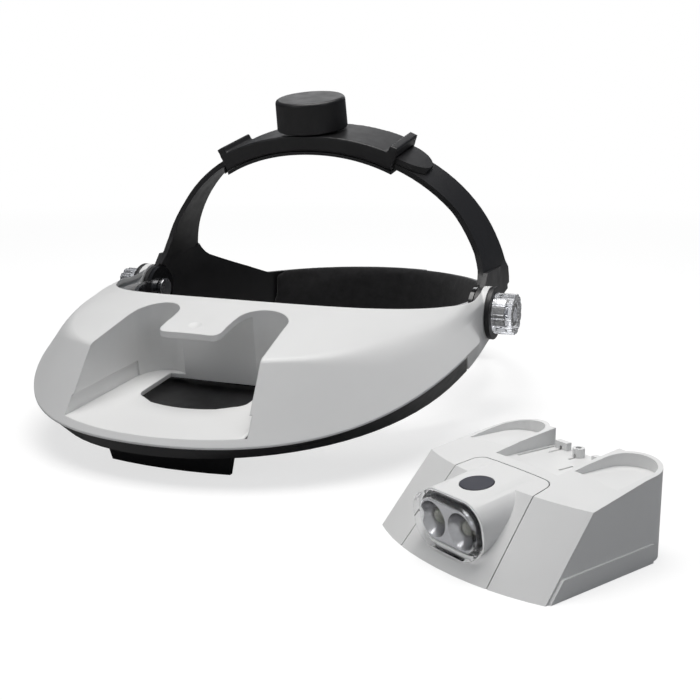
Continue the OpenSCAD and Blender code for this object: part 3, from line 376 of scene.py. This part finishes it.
# The skin runs from one pivot to the other. In front it ends a little below its lip, over the black
# skirt, and behind the skirt's end it comes down to the lower edge.
skirt_turn = np.arccos(power((lip_b - lip_mid - skirt_len) / (lip_b - lip_mid), lip_n / 2))
skirt_end = skirt_turn / superoval_end(lip_b, lip_mid, lip_n)
step_s = 0.003
ahead = np.linspace(-skirt_end, skirt_end, 261)
beside = np.linspace(skirt_end + step_s, 1, 61)
s = np.concatenate([-beside[::-1], ahead, beside])
over_skirt = (np.abs(s) <= skirt_end)[:, None]
lip, shoulder, top, rim = lip_line(s), shoulder_line(s), top_line(s), rim_line(s)
hem = np.where(over_skirt, lowered(lip, lip_edge), edge_line(s))
inner_hem = np.where(over_skirt, under_lip(s), inward(edge_line(s), s, wall))
inner_lip, inner_shoulder = inward(lip, s, wall), inward(lowered(shoulder, wall), s, wall)
inner_top, inner_rim = lowered(top, wall), lowered(rim, wall)
outer_round = rounded(lip, shoulder, top, shoulder_ease(s), outer_steps)
inner_round = rounded(inner_top, inner_shoulder, inner_lip, shoulder_ease(s), inner_steps)
outer = [hem, lip] + outer_round + [top, rim]
inner = [inner_rim, inner_top] + inner_round + [inner_lip, inner_hem]
visor = loft("visor_skin", np.stack(outer + inner, 1), "visor")

# The bay has a frame of its own, as in the part's source: y = 0 on the line through its two front
# corners, z = 0 on its sloping floor. Its sides draw in to two round ears, with a tongue between.
tilt, taper = radians(6.84), radians(4.4)
bay_hw, ear_r, ear_y, deck_back = 36.8, 9.8, 46.3, 53
bay_gap, bay_wall, floor_t, lip_t = 0.4, 2.0, 1.7, 2.1
bay_front, bay_top = 20, 70
ear_from, ear_to = 6, 178
rail_d, rail_h = 0.8, 6
tongue_hw, tongue_y, tongue_round, tongue_root = 13, 31, 3.5, 44
window_hw, window_round, window_y, window_front, window_bow = 23, 5.8, 32.6, 21, 43.94
window_turn, bow_half = 67, 18.5
window_low, window_high = -4, 3
hollow_front, roof_t, block_under = 27, 2.45, 0.5
ear_x = bay_hw - ear_y * tan(taper) - ear_r / cos(taper)
dock_y = -lip_mid - (lip_b - lip_mid) * (1 - (bay_hw / lip_a) ** lip_n) ** (1 / lip_n)
dock_z = lip_z + lip_t + (lip_b + dock_y) * tan(tilt)


def docked(p):
    """From the bay's own frame to the visor: turned by the bay's slope, then moved to its front corners."""
    y, z = p[:, 1] * cos(tilt) - p[:, 2] * sin(tilt), p[:, 1] * sin(tilt) + p[:, 2] * cos(tilt)
    return np.stack([p[:, 0], y + dock_y, z + dock_z], -1)


def prism(name, plan, z0, z1):
    """A straight prism on a plan outline in the bay's frame, from z0 to z1, then docked."""
    flat = np.zeros(len(plan))
    return between(name, docked(at_height(plan, flat + z0)), docked(at_height(plan, flat + z1)))


def bay_side(c):
    """The bay's right side, c outside the lamp unit: its front end, and where the ear's round starts."""
    r = ear_r + c
    start = (bay_hw + c + bay_front * tan(taper), -bay_front)
    return np.array([start, (ear_x + r * cos(taper), ear_y + r * sin(taper))])


def envelope(name, by):
    """All that lies under the visor's outer faces, lowered by a distance, down to below the table."""
    ends_at, bottom = 0.9, -5
    s = np.linspace(-ends_at, ends_at, 220)
    lip, shoulder, top, rim = lip_line(s), shoulder_line(s), top_line(s), rim_line(s)
    ring = [lip] + rounded(lip, shoulder, top, shoulder_ease(s), outer_steps) + [top, rim]
    ring = [lowered(p, by) for p in ring]
    ring += [p * [1, 1, 0] + [0, 0, bottom] for p in (rim, lip)]
    return loft(name, np.stack(ring, 1))


def disc(name, x0, x1, radius):
    """A round on the pivots' axis, across the head from x0 to x1."""
    count = 96
    ring = arc(0, pivot_z, radius, 0, 360 * (1 - 1 / count), count)
    start, end = (np.concatenate([np.full((count, 1), x), ring], 1) for x in (x0, x1))
    return between(name, start, end)


# The bay's walls and floor are a block joined to the skin. The bay itself, the grooves for the lamp
# unit's rails, the floor window and the space under the tongue are cut from it, and the lugs follow.
outside = bay_gap + bay_wall
block_end = 180 - np.degrees(np.arcsin((deck_back + outside - ear_y) / (ear_r + outside)))
block_plan = mirrored(bay_side(outside), arc(ear_x, ear_y, ear_r + outside, ear_from, block_end, 30))
block = prism("block", block_plan, -floor_t, bay_top)
joined(visor, joined(block, envelope("under", block_under), "INTERSECT"), "UNION")
ear = arc(ear_x, ear_y, ear_r + bay_gap, ear_from, ear_to, 40)
tongue = arc(tongue_hw - tongue_round, tongue_y + tongue_round, tongue_round, 0, -90, 12)
bay_plan = mirrored(bay_side(bay_gap), ear, [(tongue_hw, tongue_root)], tongue)
joined(visor, prism("bay", bay_plan, 0, bay_top), "DIFFERENCE")
rail_plan = mirrored(bay_side(bay_gap + rail_d))
joined(visor, prism("rail", rail_plan, 0, rail_h + bay_gap), "DIFFERENCE")
back = deck_back + bay_gap
corner_x = window_hw - window_round
sill = np.concatenate([
    [(-window_hw, back)],
    arc(-corner_x, window_y, window_round, 180, 180 + window_turn, 12),
    arc(0, window_front + window_bow, window_bow, 270 - bow_half, 270 + bow_half, 30),
    arc(corner_x, window_y, window_round, 360 - window_turn, 360, 12),
    [(window_hw, back)],
])
joined(visor, prism("window", sill, window_low, window_high), "DIFFERENCE")
hollow_plan = [(-ear_x, hollow_front), (ear_x, hollow_front), (ear_x, back), (-ear_x, back)]
hollow = prism("hollow", hollow_plan, 0, bay_top)
joined(visor, joined(hollow, envelope("roof", roof_t), "INTERSECT"), "DIFFERENCE")
for side in (-1, 1):
    joined(visor, disc("lug", side * lug_in, side * lug_out, lug_r), "UNION")
    joined(visor, disc("bore", side * bore_in, side * bore_out, bore_r), "DIFFERENCE")

# A shallow round dent over the tongue, moulded in: the cap of a ball that is cut from the top face.
ball_r, ball_at = 7, (0, -104.8, 55.57)
ball = bmesh.new()
bmesh.ops.create_uvsphere(ball, u_segments=96, v_segments=64, radius=ball_r * mm)
bmesh.ops.translate(ball, verts=ball.verts, vec=Vector(ball_at) * mm)
dent = bpy.data.objects.new("dent", bpy.data.meshes.new("dent"))
ball.to_mesh(dent.data)
ball.free()
scene.collection.objects.link(dent)
joined(visor, dent, "DIFFERENCE")


def clean_copy(name, source, near, flat):
    """A plain copy of a mesh: points closer than near mm merged, faces within flat degrees joined."""
    bm = bmesh.new()
    bm.from_mesh(source)
    bmesh.ops.remove_doubles(bm, verts=bm.verts, dist=near * mm)
    bmesh.ops.dissolve_limit(bm, angle_limit=radians(flat), verts=bm.verts, edges=bm.edges)
    bm.verts.index_update()
    mesh = bpy.data.meshes.new(name)
    mesh.from_pydata([v.co[:] for v in bm.verts], [], [[v.index for v in f.verts] for f in bm.faces])
    bm.free()
    return mesh


def eased(piece, width, angle):
    """Edges sharper than an angle rounded by a width in mm, and smooth shading up to that angle,
    weighted by face size."""
    if width:
        edge = piece.modifiers.new("edge", "BEVEL")
        edge.width, edge.segments = width * mm, 2
        edge.limit_method, edge.angle_limit = "ANGLE", radians(angle)
        edge.miter_outer = "MITER_ARC"
        settled(piece)
    mesh = piece.data
    mesh.polygons.foreach_set("use_smooth", np.ones(len(mesh.polygons), bool))
    mesh.set_sharp_from_angle(angle=radians(angle))
    weigh = piece.modifiers.new("weigh", "WEIGHTED_NORMAL")
    weigh.keep_sharp = True
    return settled(piece)


def wears(piece, look):
    """The piece with one material."""
    piece.data.materials.clear()
    piece.data.materials.append(look)
    return piece


def finish(name, colour, rough, grain, depth, tint=0.03, coat=0.0, spread=40.0, edge=0, **more):
    """A moulded or machined finish on object coordinates. Its bump is noise of a grain and a depth in
    mm, its colour wanders by the share tint and its roughness by 12 % over 1 / spread metres, and
    edge is the radius in mm by which its shading rounds every edge."""
    look = bpy.data.materials.new(name)
    look.use_nodes = True
    net = look.node_tree
    place = net.nodes.new("ShaderNodeTexCoord").outputs["Object"]

    def noise(scale, detail):
        """Noise of a scale, as a value."""
        inputs = {"Vector": place, "Scale": scale, "Detail": detail}
        return add_node(net, "TexNoise", inputs).outputs["Fac"]

    def ranged(value, low, high):
        """The middle of a noise value's range, stretched from low to high."""
        inputs = {"Value": value, "From Min": 0.3, "From Max": 0.7, "To Min": low, "To Max": high}
        return add_node(net, "MapRange", inputs).outputs["Result"]

    dark, pale = ([min(1, k * (1 + by)) for k in colour] + [1] for by in (-tint, tint))
    mix = {0: ranged(noise(spread, 4), 0, 1), 6: dark, 7: pale}
    bump = {"Strength": 1, "Distance": depth * mm, "Height": noise(1000 / grain, 2)}
    if edge:
        bump["Normal"] = add_node(net, "Bevel", {"Radius": edge * mm}).outputs["Normal"]
    inputs = {
        "Base Color": add_node(net, "Mix", mix, data_type="RGBA").outputs[2],
        "Roughness": ranged(noise(spread * 4, 3), rough * 0.88, rough * 1.12),
        "Normal": add_node(net, "Bump", bump).outputs["Normal"],
        "Coat Weight": coat,
    }
    inputs.update({key.replace("_", " "): value for key, value in more.items()})
    wired(net, net.nodes["Principled BSDF"], inputs)
    return look


# The visor's edges are rounded by its finish, in the shading, because a bevel would tear the thin
# slivers where the cuts meet the skin.
white_abs = dict(colour=(0.8, 0.8, 0.795), rough=0.4, grain=0.6, depth=0.006, tint=0.012)
cut_mesh = visor.data
visor.data = clean_copy("visor_skin", cut_mesh, near=0.02, flat=0.3)
bpy.data.meshes.remove(cut_mesh)
eased(visor, width=0, angle=30)
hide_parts("visor_shell")
wears(visor, finish("white visor plastic", **white_abs, edge=0.6))


# The lower frame: a black strip that closes the visor from below, seated under its lip, with a cross
# plate in front that takes the lens bracket and a tray under the floor window. Two black screws hold
# it to the visor's bay floor.
def softened(node, width):
    """A copy of a CAD node's mesh in its place, with its sharp edges rounded by a width in mm."""
    source = frame["nodes"][node]
    name = node + "_moulded"
    piece = bpy.data.objects.new(name, clean_copy(name, source.data, near=0.002, flat=0.4))
    scene.collection.objects.link(piece)
    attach(piece, source["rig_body"])
    eased(piece, width, angle=32)
    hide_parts(node)
    return piece


black_plastic = finish("black plastic", (0.012, 0.0115, 0.0125), rough=0.4, grain=0.4, depth=0.01,
                       tint=0.1, Specular_IOR_Level=0.5)
dark_steel = finish("blackened steel", (0.05, 0.05, 0.055), rough=0.35, grain=0.5, depth=0.01,
                    tint=0.1, Metallic=1.0)
wears(softened("lower_frame", 0.45), black_plastic)
wears(softened("frame_screws", 0.25), dark_steel)

# The lens bracket: a drafted black foot under the cross plate, on which the visor stands, with the
# hinge's two ears. Two black screws hold it, and a plated steel pin runs through its ears.
bright_steel = finish("plated steel", (0.6, 0.6, 0.62), rough=0.28, grain=0.5, depth=0.008,
                      tint=0.05, Metallic=1.0)
wears(softened("lens_bracket", 0.7), black_plastic)
wears(softened("bracket_screws", 0.25), dark_steel)
wears(softened("lens_hinge_pin", 0.2), bright_steel)

# The flip-down lens: a clear acrylic plate moulded with two domed lenses, gripped by the jaw of its
# polished black carrier, which swings on the hinge pin.
gloss_black = finish("polished black plastic", (0.01, 0.01, 0.011), rough=0.16, grain=0.8, depth=0.004,
                     tint=0.1, coat=0.3)
clear_acrylic = finish("clear acrylic", (0.96, 0.97, 0.975), rough=0.04, grain=4, depth=0.002,
                       tint=0.01, Transmission_Weight=1.0, IOR=1.3)
wears(softened("lens_carrier", 0.4), gloss_black)
wears(softened("lens_plate", 0.3), clear_acrylic)

# The forehead band: a polished black strap between the two pivots, with a foam pad on its inside that
# is covered in dark napped cloth. The pads are blown up as cloth, from a crowned oval form.
wears(softened("forehead_band", 0.5), gloss_black)


def cushion(name, a, b, y0, start, end, low, high, thick, count):
    """A pad on the inside of an oval band, x = a cos t and y = y0 + b sin t, from low to high. Over
    its section v, its depth grows with 1 - cos v to the power 0.55 and its height follows sin v to
    the power 0.6, so that it is flat on the band and crowned towards the head. Over its length u,
    both are drawn in towards the ends by the root of 1 - (2 u - 1) to the power 8."""
    u = np.linspace(0, 1, count)[:, None]
    v = np.linspace(0, 1, 41)[None, :-1] * 2 * pi
    t = np.radians(start + (end - start) * u)
    out = np.stack([np.cos(t) / a, np.sin(t) / b], -1)
    out /= np.linalg.norm(out, axis=-1, keepdims=True)
    draw = 0.25 + 0.75 * np.sqrt(np.clip(1 - np.abs(2 * u - 1) ** 8, 0, 1))
    depth = thick * draw * (0.04 + 0.46 * (1 - power(np.cos(v), 0.55)) + 0 * u)
    reach = (high - low) / 2 * (0.72 + 0.28 * draw) * power(np.sin(v), 0.6)
    x = a * np.cos(t) - out[..., 0] * depth
    y = y0 + b * np.sin(t) - out[..., 1] * depth
    z = (low + high) / 2 + reach + 0 * x
    return loft(name, np.stack([x, y, z], -1))


def stuffed(pad, cap, body, replaced):
    """The pad remeshed and blown up a little as cloth, with no point moved further than cap mm. It rides on
    a body and stands for a CAD pad."""
    grid = pad.modifiers.new("grid", "REMESH")
    grid.mode, grid.voxel_size = "VOXEL", 2.6 * mm
    settled(pad)
    rest = np.array([v.co for v in pad.data.vertices])
    cloth = pad.modifiers.new("cloth", "CLOTH")
    cloth.settings.use_pressure = True
    cloth.settings.uniform_pressure_force = 4
    cloth.settings.effector_weights.gravity = 0
    cloth.settings.quality = 6
    cloth.settings.tension_stiffness = 25
    cloth.point_cache.frame_end = 20
    for step in range(1, 21):
        scene.frame_set(step)
    view = bpy.context.evaluated_depsgraph_get()
    blown = pad.evaluated_get(view).to_mesh()
    now = np.array([v.co for v in blown.vertices])
    pad.modifiers.clear()
    scene.frame_set(1)
    move = now - rest
    far = np.linalg.norm(move, axis=1, keepdims=True)
    rest = rest + move * np.minimum(1, cap * mm / np.maximum(far, 1e-9))
    pad.data.vertices.foreach_set("co", rest.ravel())
    finer = pad.modifiers.new("finer", "SUBSURF")
    finer.levels = finer.render_levels = 1
    settled(pad)
    pad.data.polygons.foreach_set("use_smooth", np.ones(len(pad.data.polygons), bool))
    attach(pad, body)
    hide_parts(replaced)
    return pad


dark_cloth = finish("dark napped cloth", (0.018, 0.0175, 0.0185), rough=0.92, grain=0.7, depth=0.1,
                    tint=0.22, spread=240.0, Sheen_Weight=0.22, Sheen_Roughness=0.5,
                    Specular_IOR_Level=0.2)
brow = cushion("brow_pad", a=77.7, b=72.4, y0=0, start=-139, end=-41, low=12.6, high=44.9,
               thick=4.9, count=90)
wears(stuffed(brow, 0.6, "harness", "forehead_pad"), dark_cloth)

# The harness: two black nylon halves, each a temple plate that runs back into the nape band and up
# into the crown strap. They lap in the crown sleeve and at the nape, under four rivets and a pad.
wears(softened("harness_left", 0.5), black_plastic)
wears(softened("harness_right", 0.5), black_plastic)
wears(softened("nape_rivets", 0.15), dark_steel)
nape = cushion("nape_cushion", a=79.9, b=107.0, y0=15, start=41, end=139, low=3.8, high=41.0,
               thick=5.4, count=110)
wears(stuffed(nape, 0.7, "harness", "nape_pad"), dark_cloth)

# The temple pivots: a steel stud through forehead band, harness and visor, a black friction disc, and
# a clear thumb knob moulded round a brass insert.
clear_knob = finish("clear polycarbonate", (0.6, 0.61, 0.64), rough=0.07, grain=2, depth=0.01,
                    tint=0.02, Transmission_Weight=0.92, IOR=1.56)
brass = finish("nickel plated brass", (0.6, 0.58, 0.53), rough=0.3, grain=0.5, depth=0.01,
               tint=0.05, Metallic=1.0)
for hand in ("left", "right"):
    wears(softened("pivot_stud_" + hand, 0.25), bright_steel)
    wears(softened("pivot_disc_" + hand, 0.4), black_plastic)
    wears(softened("pivot_knob_" + hand, 0.4), clear_knob)
    wears(softened("knob_insert_" + hand, 0.2), brass)


# The crown adjuster: a black sleeve over both straps, its lining under them, and a big knob whose
# nylon pinion drives the straps' racks. A plated screw holds the knob.
def melted(node, voxel, times):
    """A copy of a CAD node's mesh on an even grid in mm, its edges worn round by smoothing."""
    piece = softened(node, 0)
    grid = piece.modifiers.new("grid", "REMESH")
    grid.mode, grid.voxel_size = "VOXEL", voxel * mm
    wear = piece.modifiers.new("wear", "SMOOTH")
    wear.factor, wear.iterations = 0.5, times
    settled(piece)
    piece.data.polygons.foreach_set("use_smooth", np.ones(len(piece.data.polygons), bool))
    return piece


nylon = finish("natural nylon", (0.62, 0.6, 0.55), rough=0.5, grain=0.6, depth=0.01)
wears(melted("crown_sleeve", voxel=0.5, times=10), black_plastic)
wears(softened("sleeve_base", 0.6), black_plastic)
wears(softened("crown_knob", 0.5), black_plastic)
wears(softened("crown_pinion", 0.15), nylon)
wears(softened("crown_screw", 0.2), bright_steel)

# The lamp unit: a housing with the plan of the bay, a front panel with the lamp pod, and a base with
# the battery door, all moulded from the visor's white ABS. Four screws hold the base, and the door
# swings on a steel pin.
white_plastic = finish("white plastic", **white_abs)
wears(softened("lamp_housing", 0.7), white_plastic)
wears(softened("lamp_panel", 0.5), white_plastic)
wears(softened("lamp_base", 0.3), white_plastic)
wears(softened("battery_door", 0.3), white_plastic)
wears(softened("base_screws", 0.2), dark_steel)
wears(softened("door_hinge_pin", 0.1), bright_steel)

# The lamp: a reflector moulded with two cups and coated with metal, behind one clear window, a light
# diode in each cup on one board, and a switch under a dark blue rubber button.
chrome = finish("bright metal coating", (0.33, 0.33, 0.34), rough=0.22, grain=3, depth=0.01,
                tint=0.02, Metallic=1.0)
resin = finish("clear diode resin", (0.7, 0.7, 0.62), rough=0.08, grain=2, depth=0.005,
               Transmission_Weight=0.85, IOR=1.4)
board_green = finish("solder mask", (0.02, 0.14, 0.05), rough=0.35, grain=0.8, depth=0.01, tint=0.1)
window = finish("clear lamp window", (0.97, 0.975, 0.98), rough=0.03, grain=4, depth=0.002,
                tint=0.01, Transmission_Weight=1.0, IOR=1.1)
navy = finish("dark blue rubber", (0.02, 0.021, 0.035), rough=0.42, grain=0.5, depth=0.01, tint=0.1)
wears(softened("lamp_lens", 0.5), window)
wears(softened("reflector", 0), chrome)
wears(softened("leds", 0), resin)
wears(softened("led_board", 0.15), board_green)
wears(softened("switch_body", 0.2), black_plastic)
wears(softened("push_button", 0.4), navy)

# The power: two cells in printed metal sleeves, side by side in a black tray inside the lamp unit,
# each with a plated spring at one end and a contact plate at the other.
sleeve_ink = finish("cell sleeve", (0.5, 0.36, 0.14), rough=0.3, grain=1, depth=0.005,
                    tint=0.05, coat=0.5, Metallic=0.6)
wears(softened("battery_tray", 0.3), black_plastic)
wears(softened("battery_front", 0.4), sleeve_ink)
wears(softened("battery_rear", 0.4), sleeve_ink)
wears(softened("contact_springs", 0.1), bright_steel)
wears(softened("contact_plates", 0.05), bright_steel)
